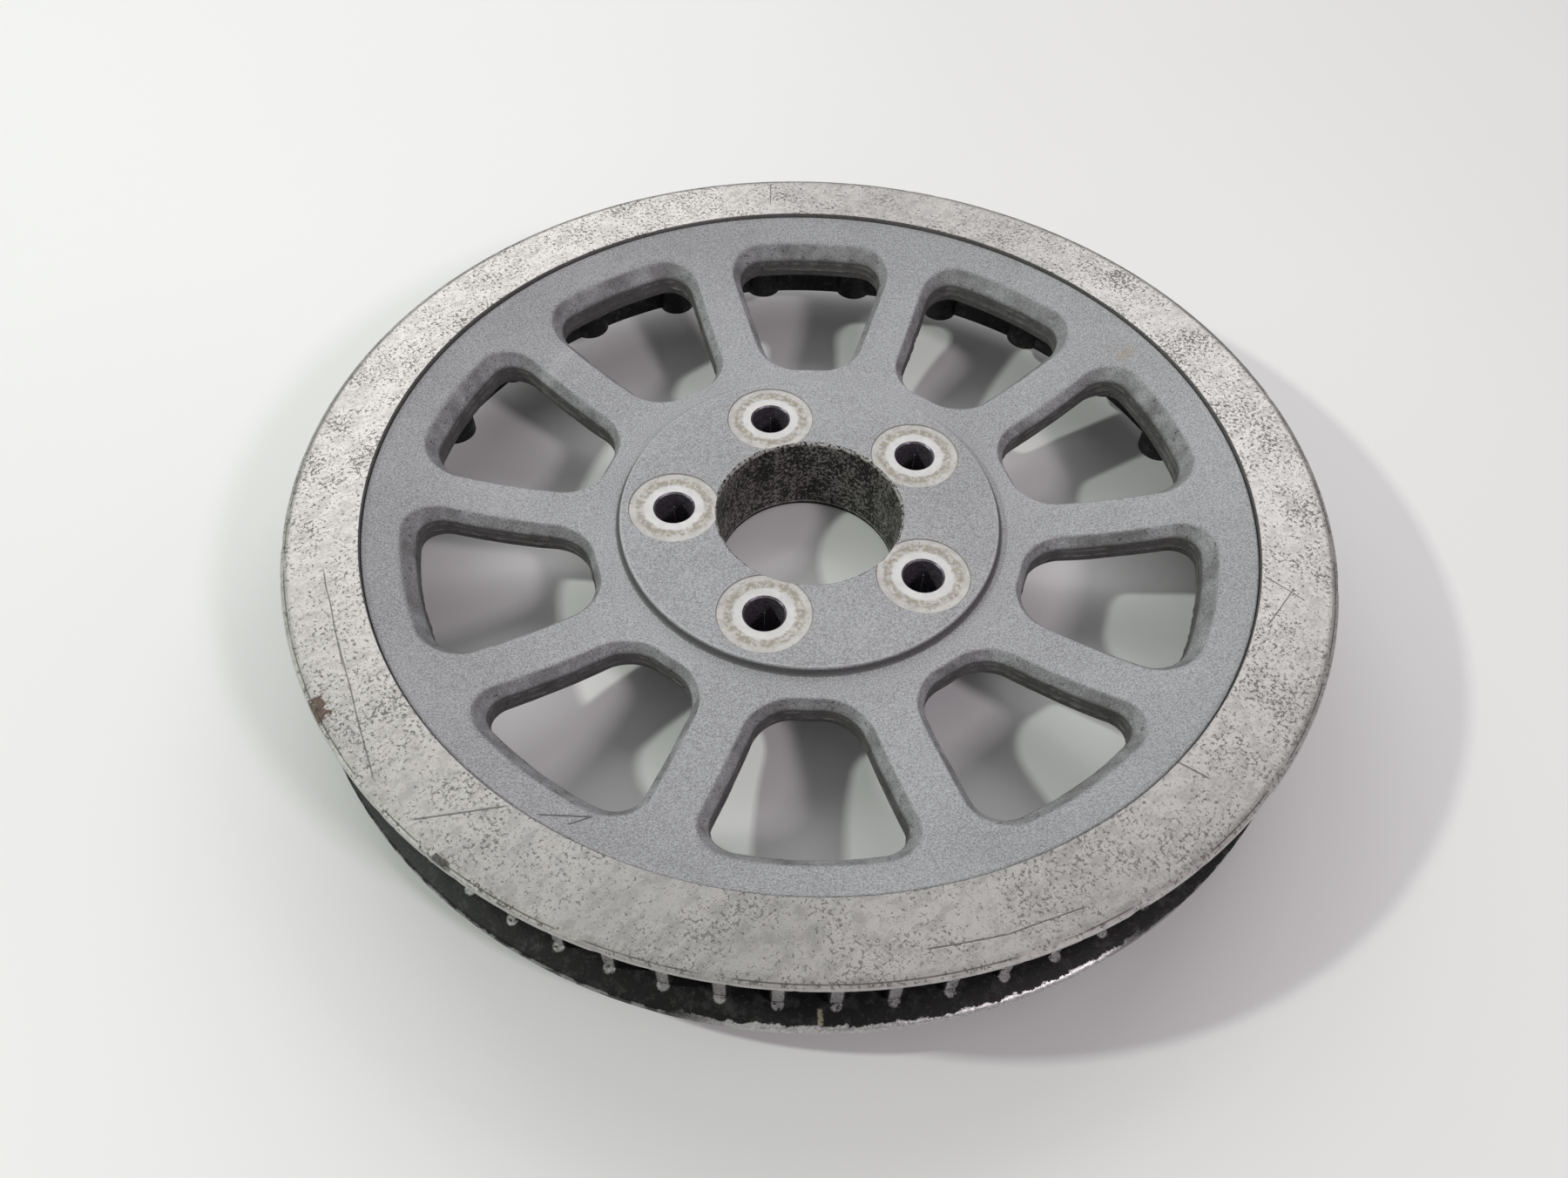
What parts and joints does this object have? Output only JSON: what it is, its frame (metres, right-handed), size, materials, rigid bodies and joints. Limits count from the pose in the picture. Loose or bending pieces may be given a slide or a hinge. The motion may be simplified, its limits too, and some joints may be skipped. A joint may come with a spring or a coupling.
{
  "type": "timing belt pulley",
  "caption": "Flanged timing belt pulley with a dished spoked wheel, central bore and bolt circle, toothed rim and screwed-on belt flanges.",
  "frame": {"origin": "centre of the hub's back face, on the bore axis", "axes": "+Z along the bore axis towards the outer flange; +X along the middle of a spoke"},
  "size_m": [0.3022, 0.3022, 0.044],
  "materials": {
    "wheel_paint": "sandy silver-grey paint on an aluminium casting",
    "flange_metal": "bare turned metal with dark corrosion specks",
    "rim_black": "black coating, worn bare on the tooth lands",
    "flange_black": "black coating, chipped bare along the edge",
    "screw_steel": "dull zinc"
  },
  "bodies": {
    "root": {"spoked_wheel": "wheel_paint", "outer_flange": "flange_metal", "toothed_rim": "rim_black", "inner_flange": "flange_black", "rim_screw_01": "screw_steel", "rim_screw_02": "screw_steel", "rim_screw_03": "screw_steel", "rim_screw_04": "screw_steel", "rim_screw_05": "screw_steel", "rim_screw_06": "screw_steel", "rim_screw_07": "screw_steel", "rim_screw_08": "screw_steel", "flange_screw_01": "screw_steel", "flange_screw_02": "screw_steel", "flange_screw_03": "screw_steel", "flange_screw_04": "screw_steel", "flange_screw_05": "screw_steel", "flange_screw_06": "screw_steel", "flange_screw_07": "screw_steel", "flange_screw_08": "screw_steel", "flange_screw_09": "screw_steel", "flange_screw_10": "screw_steel", "flange_screw_11": "screw_steel", "flange_screw_12": "screw_steel", "flange_screw_13": "screw_steel", "flange_screw_14": "screw_steel", "flange_screw_15": "screw_steel", "flange_screw_16": "screw_steel"}
  },
  "joints": []
}
